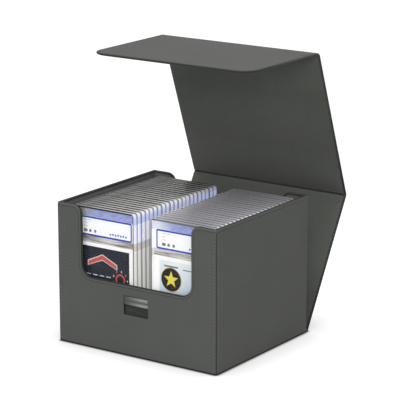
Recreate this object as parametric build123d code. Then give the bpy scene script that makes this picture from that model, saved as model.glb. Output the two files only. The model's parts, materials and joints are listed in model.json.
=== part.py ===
from build123d import *
from math import cos, radians, sin, sqrt, tan
import os

os.makedirs("parts", exist_ok=True)

# Millimetres. X runs to the right, Y to the back and Z up, seen from the front of the case.
# The origin is the bottom centre of the open box, without its lid.

# Outside of the box
case_width = 210.0
case_depth = 179.0
case_height = 159.0
case_corner_r = 1.5

# Layers of a box wall, from the outside in
wall_skin_t = 0.7
wall_board_t = 2.4
wall_lining_t = 0.5
wall_t = wall_skin_t + wall_board_t + wall_lining_t

# Raised floor that lifts the slabs to the rim
floor_pad_t = 17.3
floor_lining_t = 0.5
pad_clearance = 0.1

# Cut-out of the front and back walls, and the wrapped edge round the rim
window_side = 31.6
window_sill = 78.8
window_corner_r = 13.0
window_ear_r = 11.0
binding_t = 0.7
binding_bevel = 0.35

# Catch in the front wall: a shallow cup with a steel strike plate in its upper half
catch_width = 32.4
catch_height = 21.4
catch_centre_z = 56.8
catch_cup_wall = 1.0
catch_cup_floor = 0.6
strike_plate_height = 10.0
strike_plate_bevel = 0.4
strike_plate_gap = 0.2

# Layers of a lid panel, from the outside in
lid_skin_t = 0.6
lid_board_t = 1.5
lid_lining_t = 0.5
lid_t = lid_skin_t + lid_board_t + lid_lining_t
lid_wrap_t = 0.8
flap_corner_r = 20.0

# Soft strips between the panels, which fold along both of their edges
spine_width = 5.5
spine_t = lid_skin_t + lid_lining_t
fold_gap = 0.05

# How the lid fits when it is closed
lid_back_gap = 0.2
lid_front_gap = 1.2
lid_top_gap = 2.0
flap_floor_gap = 24.2

# How far the lid stands open, in degrees from upright
rear_lean = 29.7
top_lean = 20.1
closed_fold = 90.0

# Magnets inside the flap, which meet the strike plate when it is closed
magnet_width = 13.0
magnet_height = 9.0
magnet_spacing = 16.0

# Two rows of card slabs, and the room that the box leaves round them
slab_t = 7.2
slab_pitch = 7.53
slab_corner_r = 3.0
slab_wall_gap = 0.5
slab_floor_gap = 0.05
slab_rim_drop = 1.35
row_right_gap = 1.5
row_left_gap = 14.4
row_gap = 21.9
row_end_room = 10.0

# The label, the card and its white frame, which lie inside a slab
slab_pocket_gap = 0.1
slab_recess = 0.9
slab_window_lip = 1.5
label_margin = 5.3
label_height = 21.4
label_drop = 11.5
label_t = 0.5
card_margin = 4.25
card_bottom = 4.6
card_t = 0.5
card_frame_side = 4.8
card_frame_top = 3.4
card_label_gap = 8.2

# One overrun serves every cut
overrun = 5.0

# Places that follow from the sizes above
window_width = case_width - 2 * window_side
base_top = wall_skin_t + wall_board_t
pad_top = base_top + floor_pad_t
floor_top = pad_top + floor_lining_t
slab_bottom = floor_top + slab_floor_gap
slab_height = case_height - slab_rim_drop - slab_bottom
slab_width = (case_width - 2 * wall_t - row_left_gap - row_gap - row_right_gap) / 2
row_depth = case_depth - 2 * wall_t - slab_wall_gap - row_end_room
slabs_per_row = 1 + int((row_depth - slab_t) / slab_pitch)
lid_half_width = case_width / 2
hinge_y = case_depth / 2 + lid_back_gap + lid_t
spine_rise = spine_width / sqrt(2)
rear_panel_length = case_height + lid_top_gap + lid_t - spine_rise
top_panel_length = case_depth + lid_back_gap + lid_front_gap + 2 * lid_t - 2 * spine_rise
flap_length = rear_panel_length - flap_floor_gap
crease_fold = (rear_lean + top_lean) / 2
front_fold = (closed_fold - top_lean) / 2


def save(node, *solids):
    shape = solids[0] if len(solids) == 1 else Compound(children=list(solids))
    export_step(shape, "parts/" + node + ".step")


# Basic shapes

def block(x_low, x_high, y_low, y_high, z_low, z_high):
    middle = Pos((x_low + x_high) / 2, (y_low + y_high) / 2, (z_low + z_high) / 2)
    return middle * Box(x_high - x_low, y_high - y_low, z_high - z_low)


def upright_prism(width, depth, corner_r, z_low, z_high):
    plan = RectangleRounded(width, depth, corner_r)
    return Pos(0, 0, z_low) * extrude(plan, amount=z_high - z_low)


# The rim line of the front and back walls, and everything above it as one cutter

def above_rim(inset):
    top = case_height - inset
    sill = window_sill - inset
    half = window_width / 2 + inset
    far = case_width / 2 + overrun
    ear_r = window_ear_r - inset
    corner_r = window_corner_r + inset
    rim = FilletPolyline((-far, top), (-half, top), (-half, sill), (half, sill), (half, top),
                         (far, top), radius=[ear_r, corner_r, corner_r, ear_r])
    lid = Polyline((far, top), (far, top + overrun), (-far, top + overrun), (-far, top))
    return extrude(Plane.XZ * make_face([rim, lid]), amount=case_depth / 2 + overrun, both=True)


above_wrapped_rim = above_rim(0)
above_bare_rim = above_rim(binding_t)


def wall_ring(outer_offset, inner_offset, z_low):
    outer_r = case_corner_r - outer_offset
    width = case_width - 2 * outer_offset
    depth = case_depth - 2 * outer_offset
    if outer_r > 0:
        outer = upright_prism(width, depth, outer_r, z_low, case_height)
    else:
        outer = block(-width / 2, width / 2, -depth / 2, depth / 2, z_low, case_height)
    half_x = case_width / 2 - inner_offset
    half_y = case_depth / 2 - inner_offset
    if case_corner_r > inner_offset:
        inner = upright_prism(2 * half_x, 2 * half_y, case_corner_r - inner_offset,
                              z_low - overrun, case_height + overrun)
    else:
        inner = block(-half_x, half_x, -half_y, half_y, z_low - overrun, case_height + overrun)
    return outer - inner


# Box: wrapped skin, boards, lining and the turned edge along the rim

def catch_block(margin, y_low, y_high, z_low, z_high):
    half = catch_width / 2 + margin
    return block(-half, half, y_low, y_high, z_low - margin, z_high + margin)


catch_low = catch_centre_z - catch_height / 2
catch_high = catch_centre_z + catch_height / 2
front_face = -case_depth / 2
front_board_face = front_face + wall_skin_t
front_board_back = front_board_face + wall_board_t


def make_wall_skin():
    ring = wall_ring(0, wall_skin_t, wall_skin_t) - above_bare_rim
    return ring - catch_block(0, front_face - overrun, front_board_face, catch_low, catch_high)


def make_wall_lining():
    offset = wall_skin_t + wall_board_t
    return wall_ring(offset, wall_t, base_top) - above_bare_rim


def lies_on(edge, shapes):
    middle = Vertex(edge @ 0.5)
    return min(middle.distance_to(shape) for shape in shapes) < binding_t / 2


def make_rim_binding():
    # The two long edges of the turned leather are bevelled all the way round
    ring = wall_ring(0, wall_t, wall_skin_t)
    upright = ring.faces().filter_by(Axis.Z, reverse=True)
    binding = (ring & above_bare_rim) - above_wrapped_rim
    rim_edges = [edge for edge in binding.edges() if lies_on(edge, [above_wrapped_rim])]
    return chamfer([edge for edge in rim_edges if lies_on(edge, upright)], binding_bevel)


def make_base_skin():
    return upright_prism(case_width, case_depth, case_corner_r, 0, wall_skin_t)


def inside_skin(z_low, z_high):
    width = case_width - 2 * wall_skin_t
    depth = case_depth - 2 * wall_skin_t
    return upright_prism(width, depth, case_corner_r - wall_skin_t, z_low, z_high)


def make_side_board(side):
    outer = case_width / 2 - wall_skin_t
    inner = outer - wall_board_t
    board = block(inner, outer, -case_depth / 2, case_depth / 2, base_top, case_height)
    board = (board & inside_skin(base_top, case_height)) - above_bare_rim
    return board if side > 0 else mirror(board, Plane.YZ)


def make_end_board(side):
    outer = case_depth / 2 - wall_skin_t
    half = case_width / 2 - wall_skin_t - wall_board_t
    board = block(-half, half, outer - wall_board_t, outer, base_top, case_height) - above_bare_rim
    if side > 0:
        return board
    board = mirror(board, Plane.XZ)
    return board - catch_block(catch_cup_wall, front_face, front_board_back + overrun,
                               catch_low, catch_high)


def make_floor_layer(z_low, z_high):
    half_x = case_width / 2 - wall_t - pad_clearance
    half_y = case_depth / 2 - wall_t - pad_clearance
    return block(-half_x, half_x, -half_y, half_y, z_low, z_high)


# Catch: the cup fills the cut-out of the board, and the plate stands on the cup's floor

def make_catch_cup():
    outer = catch_block(catch_cup_wall, front_board_face, front_board_back, catch_low, catch_high)
    floor = front_board_back - catch_cup_floor
    return outer - catch_block(0, front_face - overrun, floor, catch_low, catch_high)


def make_strike_plate():
    half = catch_width / 2 - strike_plate_gap
    top = catch_high - strike_plate_gap
    plate = block(-half, half, front_board_face, front_board_back - catch_cup_floor,
                  top - strike_plate_height, top)
    front_edges = plate.faces().sort_by(Axis.Y)[0].edges()
    return chamfer(front_edges, strike_plate_bevel)


# Lid: a chain of panels and soft strips in the plane of Y and Z.
# An angle is measured from upright towards the front.

def along(angle):
    return (-sin(radians(angle)), cos(radians(angle)))


def step(point, angle, length):
    direction = along(angle)
    return (point[0] + length * direction[0], point[1] + length * direction[1])


base_hinge = (hinge_y, 0)
rear_angle = -rear_lean
crease_low = step(base_hinge, rear_angle, rear_panel_length)
crease_angle = rear_angle + crease_fold
crease_high = step(crease_low, crease_angle, spine_width)
top_angle = top_lean
front_low = step(crease_high, top_angle, top_panel_length)
front_angle = top_angle + front_fold
front_high = step(front_low, front_angle, spine_width)
flap_angle = front_angle + front_fold


def panel_plane(point, angle):
    # X across the lid, Y along the panel, Z from its outer face inwards
    direction = along(angle)
    return Plane(origin=(0, point[0], point[1]), x_dir=(1, 0, 0), z_dir=(0, -direction[1], direction[0]))


def section_plane(point, angle):
    # X along the panel, Y from its outer face inwards, Z across the lid
    direction = along(angle)
    return Plane(origin=(0, point[0], point[1]), x_dir=(0, direction[0], direction[1]), z_dir=(1, 0, 0))


def panel_plan(half_width, length):
    return Pos(0, length / 2) * Rectangle(2 * half_width, length - 2 * fold_gap)


def flap_plan(half_width, length, corner_r):
    outline = FilletPolyline((-half_width, fold_gap), (-half_width, length), (half_width, length),
                             (half_width, fold_gap), radius=corner_r)
    hinge_line = Line((half_width, fold_gap), (-half_width, fold_gap))
    return make_face([outline, hinge_line])


def layer(plan, depth_low, depth_high):
    return Pos(0, 0, depth_low) * extrude(plan, amount=depth_high - depth_low)


def panel_layers(plan, inner_plan):
    board_in = lid_skin_t + lid_board_t
    skin = layer(plan, 0, lid_t) - layer(inner_plan, lid_skin_t, lid_t + overrun)
    board = layer(inner_plan, lid_skin_t, board_in)
    lining = layer(inner_plan, board_in, lid_t)
    return [skin, board, lining]


def mitre(point, angle):
    # Wedge that clears the lower end of the rear panel for its quarter turn
    reach = lid_t + overrun
    outline = Polyline((fold_gap, 0), (fold_gap + reach, reach), (-overrun, reach), (-overrun, 0), close=True)
    wedge = extrude(make_face(outline), amount=lid_half_width + overrun, both=True)
    return section_plane(point, angle) * wedge


def make_panel(point, angle, length):
    inner_half = lid_half_width - lid_wrap_t
    solids = panel_layers(panel_plan(lid_half_width, length), panel_plan(inner_half, length))
    plane = panel_plane(point, angle)
    return [plane * solid for solid in solids]


def make_flap():
    inner_half = lid_half_width - lid_wrap_t
    plan = flap_plan(lid_half_width, flap_length, flap_corner_r)
    inner_plan = flap_plan(inner_half, flap_length - lid_wrap_t, flap_corner_r - lid_wrap_t)
    skin, board, lining = panel_layers(plan, inner_plan)
    board_in = lid_skin_t + lid_board_t
    plate_centre = catch_high - strike_plate_gap - strike_plate_height / 2
    magnet_s = rear_panel_length - plate_centre
    magnets = []
    for side in (-1, 1):
        x = side * magnet_spacing / 2
        s_low = magnet_s - magnet_height / 2
        magnets.append(block(x - magnet_width / 2, x + magnet_width / 2, s_low, s_low + magnet_height,
                             lid_skin_t, board_in))
    for magnet in magnets:
        board = board - magnet
    plane = panel_plane(front_high, flap_angle)
    return [plane * solid for solid in (skin, board, lining)], [plane * magnet for magnet in magnets]


def strip_layer(point, angle, depth_low, depth_high):
    # Both long edges are cut at half of a right angle, so the strip can fold either side
    low = fold_gap + depth_low
    high = fold_gap + depth_high
    outline = Polyline((low, depth_low), (spine_width - low, depth_low), (spine_width - high, depth_high),
                       (high, depth_high), close=True)
    bar = extrude(make_face(outline), amount=lid_half_width, both=True)
    return section_plane(point, angle) * bar


def make_spine(point, angle):
    return strip_layer(point, angle, 0, lid_skin_t), strip_layer(point, angle, lid_skin_t, spine_t)


def make_base_hinge_strip():
    root = case_depth / 2
    outline = Polyline((root, 0), (hinge_y - fold_gap, 0), (hinge_y - fold_gap - spine_t, spine_t),
                       (root, spine_t), close=True)
    return extrude(Plane.YZ * make_face(outline), amount=lid_half_width, both=True)


# Slabs: a front and a back shell meet at the middle of the thickness. The label, the card and
# the white frame round the card lie in pockets of the back shell.
# Local X is across the slab, Y from its front face to the back and Z up from its lower edge.

slab_seam = slab_t / 2
label_half = slab_width / 2 - label_margin
label_high = slab_height - label_drop
label_low = label_high - label_height
card_high = label_low - card_label_gap - card_frame_top
card_half = slab_width / 2 - card_margin - card_frame_side
frame_low = card_bottom
frame_high = card_high + card_frame_top
frame_half = card_half + card_frame_side


def slab_half(y_low, y_high, cut_corners):
    # A cut corner meets the same round corner at its two ends and its middle
    cut = slab_corner_r * (2 - sqrt(2))
    outline = Rectangle(slab_width, slab_height)
    if cut_corners:
        outline = chamfer(outline.vertices(), cut)
    else:
        outline = fillet(outline.vertices(), slab_corner_r)
    return Pos(0, y_high, slab_height / 2) * extrude(Plane.XZ * outline, amount=y_high - y_low)


def slab_front_shell(windows):
    shell = slab_half(0, slab_seam, not windows)
    if not windows:
        return shell
    lip = slab_window_lip
    window = label_half + lip
    shell = shell - block(-window, window, -overrun, slab_recess, label_low - lip, label_high + lip)
    window = frame_half - lip
    return shell - block(-window, window, -overrun, slab_recess, frame_low + lip, frame_high - lip)


def slab_back_shell(cut_corners):
    gap = slab_pocket_gap
    half = label_half + gap
    shell = slab_half(slab_seam, slab_t, cut_corners)
    shell = shell - block(-half, half, slab_seam - overrun, slab_seam + label_t,
                          label_low - gap, label_high + gap)
    half = frame_half + gap
    return shell - block(-half, half, slab_seam - overrun, slab_seam + card_t,
                         frame_low - gap, frame_high + gap)


def slab_label():
    return block(-label_half, label_half, slab_seam, slab_seam + label_t, label_low, label_high)


def slab_card():
    return block(-card_half, card_half, slab_seam, slab_seam + card_t, card_bottom, card_high)


def slab_card_frame():
    frame = block(-frame_half, frame_half, slab_seam, slab_seam + card_t, frame_low, frame_high)
    return frame - block(-card_half, card_half, slab_seam - overrun, slab_t, card_bottom - overrun, card_high)


# The first slab of a row, which shows through the window, and the ones behind it
first_slab = {
    "front_shell": slab_front_shell(True),
    "back_shell": slab_back_shell(False),
    "label": slab_label(),
    "card_frame": slab_card_frame(),
    "card": slab_card(),
}
row_slab = dict(first_slab, front_shell=slab_front_shell(False), back_shell=slab_back_shell(True))


def slab_place(x_centre, index):
    y_front = -case_depth / 2 + wall_t + slab_wall_gap + index * slab_pitch
    return Pos(x_centre, y_front, slab_bottom)


def save_row(side, x_centre):
    for piece, solid in first_slab.items():
        save(side + "_front_slab_" + piece, slab_place(x_centre, 0) * solid)
    for piece, solid in row_slab.items():
        rest = [slab_place(x_centre, index) * solid for index in range(1, slabs_per_row)]
        save(side + "_row_" + piece + "s", *rest)


def main():
    save("wall_skin", make_wall_skin())
    save("wall_lining", make_wall_lining())
    save("rim_binding", make_rim_binding())
    save("base_skin", make_base_skin())
    save("base_board", inside_skin(wall_skin_t, base_top))
    save("left_wall_board", make_side_board(-1))
    save("right_wall_board", make_side_board(1))
    save("front_wall_board", make_end_board(-1))
    save("back_wall_board", make_end_board(1))
    save("floor_pad", make_floor_layer(base_top, pad_top))
    save("floor_lining", make_floor_layer(pad_top, floor_top))
    save("catch_cup", make_catch_cup())
    save("strike_plate", make_strike_plate())
    save("base_hinge_strip", make_base_hinge_strip())

    rear = make_panel(base_hinge, rear_angle, rear_panel_length)
    wedge = mitre(base_hinge, rear_angle)
    for node, solid in zip(("rear_panel_skin", "rear_panel_board", "rear_panel_lining"), rear):
        save(node, solid - wedge)
    crease_skin, crease_lining = make_spine(crease_low, crease_angle)
    save("crease_strip_skin", crease_skin)
    save("crease_strip_lining", crease_lining)
    top = make_panel(crease_high, top_angle, top_panel_length)
    for node, solid in zip(("top_panel_skin", "top_panel_board", "top_panel_lining"), top):
        save(node, solid)
    front_skin, front_lining = make_spine(front_low, front_angle)
    save("front_strip_skin", front_skin)
    save("front_strip_lining", front_lining)
    flap, magnets = make_flap()
    for node, solid in zip(("flap_skin", "flap_board", "flap_lining"), flap):
        save(node, solid)
    save("flap_magnets", *magnets)

    right_centre = case_width / 2 - wall_t - row_right_gap - slab_width / 2
    save_row("right", right_centre)
    save_row("left", right_centre - slab_width - row_gap)


main()
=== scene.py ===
import json
import math
import random

import bmesh
import bpy
from mathutils import Matrix, Vector
from mathutils.geometry import tessellate_polygon


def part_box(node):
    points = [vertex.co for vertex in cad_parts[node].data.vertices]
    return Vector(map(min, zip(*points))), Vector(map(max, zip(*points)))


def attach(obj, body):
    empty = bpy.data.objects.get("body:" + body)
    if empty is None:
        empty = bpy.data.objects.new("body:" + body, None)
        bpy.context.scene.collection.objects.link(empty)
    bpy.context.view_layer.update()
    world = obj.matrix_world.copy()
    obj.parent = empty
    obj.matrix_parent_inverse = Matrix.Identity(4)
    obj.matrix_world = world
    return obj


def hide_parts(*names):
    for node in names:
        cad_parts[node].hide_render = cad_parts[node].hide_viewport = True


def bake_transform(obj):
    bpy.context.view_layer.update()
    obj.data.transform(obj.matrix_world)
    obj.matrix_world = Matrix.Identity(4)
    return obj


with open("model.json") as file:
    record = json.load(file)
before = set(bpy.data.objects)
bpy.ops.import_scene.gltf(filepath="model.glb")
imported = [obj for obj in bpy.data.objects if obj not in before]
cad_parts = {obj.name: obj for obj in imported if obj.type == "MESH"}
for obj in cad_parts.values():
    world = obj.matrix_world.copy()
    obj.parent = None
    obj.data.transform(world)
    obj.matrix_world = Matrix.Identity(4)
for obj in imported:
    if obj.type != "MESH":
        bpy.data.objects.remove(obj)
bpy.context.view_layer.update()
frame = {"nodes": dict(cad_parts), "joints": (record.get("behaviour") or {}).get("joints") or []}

# Lengths in this file are millimetres. MM turns them into metres.
MM = 0.001
merge_gap = 0.001
SIDES = ("left", "right")


def box_mm(node):
    low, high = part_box(node)
    return low / MM, high / MM


# Box and rim. The rolled edge of a window stands a little further in than the opening of the solids.
case_half_x = box_mm("wall_skin")[1].x
case_half_y = box_mm("wall_skin")[1].y
rim_z = box_mm("rim_binding")[1].z
floor_gap = 0.1
wall_t = case_half_x - box_mm("floor_lining")[1].x - floor_gap
case_corner_r = 1.5
case_corner_steps = 4
window_lip = 1.2
opening_half = 73.4
opening_sill = 78.8
window_half = opening_half - window_lip
window_sill = opening_sill + window_lip
window_corner_r = 13.0
window_ear_r = 11.0
window_arc_steps = 8
rim_roll = 3.7
rim_groove_depth = 0.35
foot_top = 1.0
least_foot_r = 0.02
cover_t = 0.5
catch_wall = 1.0
catch_corner_r = 1.0

# Profiles of the box cover: (inset, height) round its foot and (margin, depth) into the catch
foot_profile = ((0, foot_top), (0.12, 0.45), (0.4, 0.12), (1.1, 0))
catch_profile = ((0.8, 0), (0.3, 0.12), (0.0, 0.5), (-0.08, 0.9), (0.3, 1.1))

# Stitches, with their distances from the front corners on the front and on the sides
front_stitch_insets = (3.7, 9.3)
side_stitch_insets = (3.8, 9.4)
stitch_pitch = 3.8
stitch_length = 2.5
stitch_r = 0.3
stitch_low = 5.0
stitch_rim_gap = 8.0
stitch_sides = 6
hole_length = 1.5
hole_half = 0.5

# A stitch as a spindle: (share of its half length, share of its radius)
spindle = ((-1, 0.25), (-0.8, 0.75), (-0.35, 1), (0.35, 1), (0.8, 0.75), (1, 0.25))

# Lid, with its pivots taken from the joints
pivots = {joint["name"]: Vector(joint["pos_m"]) / MM
          for joint in frame["joints"] if joint["type"] == "hinge"}
lid_half = case_half_x
fold_reach = 2.6
fold_slope = 1.7
fold_steps = 10
crease_from = 1.5
base_hump = 0.95
leather_t = 2.2
leather_edge_r = 1.0
leather_edge_share = 0.48
soft_leather_t = 0.6
lining_t = 0.45
lining_sink = 0.05
lining_margin = 1.8
lining_edge_r = 0.25
edge_steps = 4
edge_groove_at = 2.2
edge_groove_half = 0.45
edge_groove_depth = 0.16
flap_corner_r = 20.0
flap_corner_steps = 10

# Slabs. Both rows have the same heights and depths.
slab_boxes = {side: box_mm(side + "_front_slab_front_shell") for side in SIDES}
slab_low, slab_high = slab_boxes["left"]
row_low, row_high = box_mm("left_row_front_shells")
slab_bottom = slab_low.z
slab_top = slab_high.z
slab_width = slab_high.x - slab_low.x
slab_height = slab_top - slab_bottom
slab_t = 7.2
slab_seam = slab_t / 2
slabs_behind = 20
slab_pitch = (row_high.y - row_low.y - slab_seam) / (slabs_behind - 1)
slab_corner_r = 3.0
slab_corner_steps = 5
least_corner_r = 0.2
slab_edge_r = 0.9
slab_edge_steps = 3
slab_groove = 0.25
slab_floor_t = 0.45
slab_rim_width = 1.7
slab_rim_bevel = (0.4, 0.5)
pane_depths = (0.6, 1.6)
row_sway = 0.35
row_rise = 0.25
label_low = box_mm("left_front_slab_label")[0].z - slab_bottom
label_high = box_mm("left_front_slab_label")[1].z - slab_bottom
frame_top = box_mm("left_front_slab_card_frame")[1].z - slab_bottom


# Mesh helpers

def add_mesh(name, points, faces, materials, smooth=None, indices=None):
    mesh = bpy.data.meshes.new(name)
    mesh.from_pydata([Vector(p) * MM for p in points], [], faces)
    for material in materials:
        mesh.materials.append(material)
    mesh.polygons.foreach_set("use_smooth", smooth or [True] * len(faces))
    if indices:
        mesh.polygons.foreach_set("material_index", indices)
    merge = bmesh.new()
    merge.from_mesh(mesh)
    bmesh.ops.remove_doubles(merge, verts=merge.verts, dist=merge_gap * MM)
    bmesh.ops.recalc_face_normals(merge, faces=merge.faces)
    merge.to_mesh(mesh)
    merge.free()
    piece = bpy.data.objects.new(name, mesh)
    bpy.context.scene.collection.objects.link(piece)
    return piece


def settle(piece, slot_name, body, *nodes):
    """The piece rides on a body and stands for the CAD nodes named. Its slot name is not used."""
    if nodes:
        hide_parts(*nodes)
    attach(piece, body)


class Patch:
    """Points and faces of one piece. A smooth face is shaded round, the others flat."""

    def __init__(self):
        self.points = []
        self.faces = []
        self.smooth = []
        self.indices = []

    def face(self, points, smooth=False, index=0):
        first = len(self.points)
        self.points += [tuple(p) for p in points]
        self.faces.append(tuple(range(first, first + len(points))))
        self.smooth.append(smooth)
        self.indices.append(index)

    def strip(self, loop_a, loop_b, closed=True, smooth=True, index=0):
        """Faces between two lines. The material index is one number, or a list with one a face."""
        count = len(loop_a)
        for i in range(count if closed else count - 1):
            j = (i + 1) % count
            chosen = index[i] if isinstance(index, list) else index
            self.face([loop_a[i], loop_a[j], loop_b[j], loop_b[i]], smooth, chosen)

    def loft(self, loops, index=0):
        for loop_a, loop_b in zip(loops, loops[1:]):
            self.strip(loop_a, loop_b, index=index)

    def cap(self, loops, first=0, last=0):
        """The flat faces at both ends of a loft."""
        self.face(loops[0], index=first)
        self.face(loops[-1], index=last)

    def filled(self, loops, index=0):
        """Flat faces inside the first line and outside the others."""
        flat = [p for loop in loops for p in loop]
        for triangle in tessellate_polygon([[Vector(p) for p in loop] for loop in loops]):
            self.face([flat[i] for i in triangle], index=index)

    def make(self, name, *materials):
        return add_mesh(name, self.points, self.faces, materials, self.smooth, self.indices)


def arc(cx, cy, radius, start, end, steps):
    """Points of an arc with their outward direction, as (x, y, nx, ny)."""
    made = []
    for i in range(steps + 1):
        angle = math.radians(start + (end - start) * i / steps)
        c, s = math.cos(angle), math.sin(angle)
        made.append((cx + radius * c, cy + radius * s, c, s))
    return made


def arc_points(*shape):
    return [point[:2] for point in arc(*shape)]


def rounded_rectangle(x_half, z_low, z_high, radius, steps=3):
    loop = []
    for cx, cz, start in ((x_half - radius, z_low + radius, -90), (x_half - radius, z_high - radius, 0),
                          (radius - x_half, z_high - radius, 90), (radius - x_half, z_low + radius, 180)):
        loop += arc_points(cx, cz, radius, start, start + 90, steps)
    return loop


def turn_out(depth, radius, steps):
    """(inset, depth) over a round edge, from a face at this depth out to the side."""
    return arc_points(radius, depth + radius, radius, 270, 180, steps)


def turn_in(depth, radius, steps):
    """(inset, depth) over a round edge, from the side in to a face at this depth."""
    return arc_points(radius, depth - radius, radius, 180, 90, steps)


def smoothstep(t):
    t = min(1.0, max(0.0, t))
    return t * t * (3 - 2 * t)


# Node helpers

def as_linear(colour):
    """A colour or level of grey in sRGB, 0 to 255, as a linear colour. A socket or linear colour stays."""
    if isinstance(colour, bpy.types.NodeSocket):
        return colour
    levels = (colour,) * 3 if isinstance(colour, int) else colour
    if len(levels) == 4:
        return levels
    made = []
    for level in levels:
        share = level / 255
        made.append(share / 12.92 if share <= 0.04045 else ((share + 0.055) / 1.055) ** 2.4)
    return (*made, 1.0)


class Nodes:
    """A node tree, with short calls that add nodes to it."""

    def __init__(self, owner):
        owner.use_nodes = True
        self.tree = owner.node_tree

    def put(self, socket, value):
        if isinstance(value, bpy.types.NodeSocket):
            self.tree.links.new(value, socket)
        else:
            socket.default_value = value

    def add(self, kind, inputs=None, **settings):
        node = self.tree.nodes.new(kind)
        for key, value in settings.items():
            setattr(node, key, value)
        for key, value in (inputs or {}).items():
            self.put(node.inputs[key], value)
        return node

    def maths(self, operation, a, b=0.0):
        return self.add("ShaderNodeMath", {0: a, 1: b}, operation=operation).outputs[0]

    def times(self, a, b):
        return self.maths("MULTIPLY", a, b)

    def ranged(self, value, low, high, to_low=0.0, to_high=1.0):
        inputs = {"Value": value, "From Min": low, "From Max": high, "To Min": to_low, "To Max": to_high}
        return self.add("ShaderNodeMapRange", inputs).outputs["Result"]

    def seen_straight(self):
        """1 for rays from the camera, from gloss and through glass, which see the white background."""
        rays = self.add("ShaderNodeLightPath").outputs
        direct = self.maths("MAXIMUM", rays["Is Camera Ray"], rays["Is Glossy Ray"])
        return self.maths("MAXIMUM", direct, rays["Is Transmission Ray"])


class Look(Nodes):
    """A material with its shader. Its sizes and places are millimetres in the object's own axes."""

    def __init__(self, name, roughness=0.5, **sockets):
        self.material = bpy.data.materials.new(name)
        super().__init__(self.material)
        self.shader = self.tree.nodes["Principled BSDF"].inputs
        self.shader["Roughness"].default_value = roughness
        for socket, value in sockets.items():
            self.shader[socket.replace("_", " ")].default_value = value
        self.place = self.add("ShaderNodeTexCoord").outputs["Object"]

    def noise(self, place, scale, detail, roughness):
        inputs = {"Vector": place, "Scale": scale, "Detail": detail, "Roughness": roughness}
        return self.add("ShaderNodeTexNoise", inputs).outputs["Fac"]

    def clouds(self, size, detail=2.0, roughness=0.5):
        """Cloudy pattern with spots of about this size."""
        return self.noise(self.place, 1 / (size * MM), detail, roughness)

    def streaks(self, scale, detail, roughness):
        """Cloudy pattern with a scale of its own along each axis."""
        place = self.add("ShaderNodeMapping", {"Vector": self.place, "Scale": scale}).outputs["Vector"]
        return self.noise(place, 1.0, detail, roughness)

    def axis(self, name):
        return self.add("ShaderNodeSeparateXYZ", {"Vector": self.place}).outputs[name]

    def along(self, name, start, end, to_start=0.0, to_end=1.0):
        """A value that runs from one place on an axis to another."""
        return self.ranged(self.axis(name), start * MM, end * MM, to_start, to_end)

    def off_middle(self, name, low, high):
        """Distance along an axis from the middle between two places, in metres."""
        return self.maths("ABSOLUTE", self.maths("SUBTRACT", self.axis(name), (low + high) / 2 * MM))

    def facing(self, name):
        """How squarely a face looks along an axis, either way, from 0 to 1."""
        normal = self.add("ShaderNodeNewGeometry").outputs["Normal"]
        return self.maths("ABSOLUTE", self.add("ShaderNodeSeparateXYZ", {"Vector": normal}).outputs[name])

    def mix(self, factor, a, b):
        node = self.add("ShaderNodeMix", data_type="RGBA")
        for index, value in ((0, factor), (6, as_linear(a)), (7, as_linear(b))):
            self.put(node.inputs[index], value)
        return node.outputs[2]

    def ramp(self, factor, *stops):
        node = self.add("ShaderNodeValToRGB", {"Fac": factor})
        while len(node.color_ramp.elements) < len(stops):
            node.color_ramp.elements.new(1.0)
        for element, (position, colour) in zip(node.color_ramp.elements, stops):
            element.position = position
            element.color = as_linear(colour)
        return node.outputs["Color"]

    def bump(self, height, strength, distance):
        inputs = {"Height": height, "Strength": strength, "Distance": distance * MM}
        return self.add("ShaderNodeBump", inputs).outputs["Normal"]

    def done(self, colour, bump=None, roughness=None, glow=None):
        """The material, once its shader has what varies over the surface."""
        for socket, value in (("Base Color", colour), ("Normal", bump), ("Roughness", roughness),
                              ("Emission Color", glow)):
            if value is not None:
                self.put(self.shader[socket], value)
        return self.material


# Materials. A pair of colours gives the dark and the light spots of a pattern.

pebble_size = 0.55
twist_size = 1.2
valley_tone = (36, 37, 35)
# Painted contact shade round the bottom of the box
foot_shade_tone = (10, 11, 10)

# Share of the nap's tone that is kept, as painted light and shade, from under the upper crease to the top
# of the lid
painted_light_shares = ((0.0, 0.8), (0.06, 1.0), (0.2, 0.95), (0.34, 0.7), (0.48, 0.6), (0.7, 0.54), (0.86, 0.68),
              (1.0, 0.84))

# Share lost to painted shade at the edges of the lid, and how far from its middle this starts
painted_edge_shade = 0.18
painted_edge_shade_from = 30.0
painted_light_below_crease = 8.0
nap_shadow = (40, 41, 39)


def make_leather(name, dark, light, foot=0.0):
    """Pebbled leather. Up to the height foot, a darker band paints the contact shade round the bottom of
    the box.
    """
    look = Look(name, IOR=1.45, Specular_IOR_Level=0.35)
    inputs = {"Vector": look.place, "Scale": 1 / (pebble_size * MM), "Randomness": 0.9}
    pebbles = look.add("ShaderNodeTexVoronoi", inputs, feature="SMOOTH_F1").outputs["Distance"]
    soft = look.clouds(size=1.7, detail=3.0)
    shade = look.mix(look.clouds(size=60), dark, light)
    shade = look.mix(look.ranged(pebbles, 0.2, 0.75, 0.0, 0.16), shade, valley_tone)
    if foot:
        shade = look.mix(look.along("Z", foot * 0.8, foot, 1.0, 0.0), shade, foot_shade_tone)
    height = look.maths("ADD", look.times(pebbles, -0.7), look.times(soft, 0.6))
    return look.done(shade, look.bump(height, strength=0.35, distance=0.12),
                     look.ranged(soft, 0.3, 0.7, 0.6, 0.72))


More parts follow.
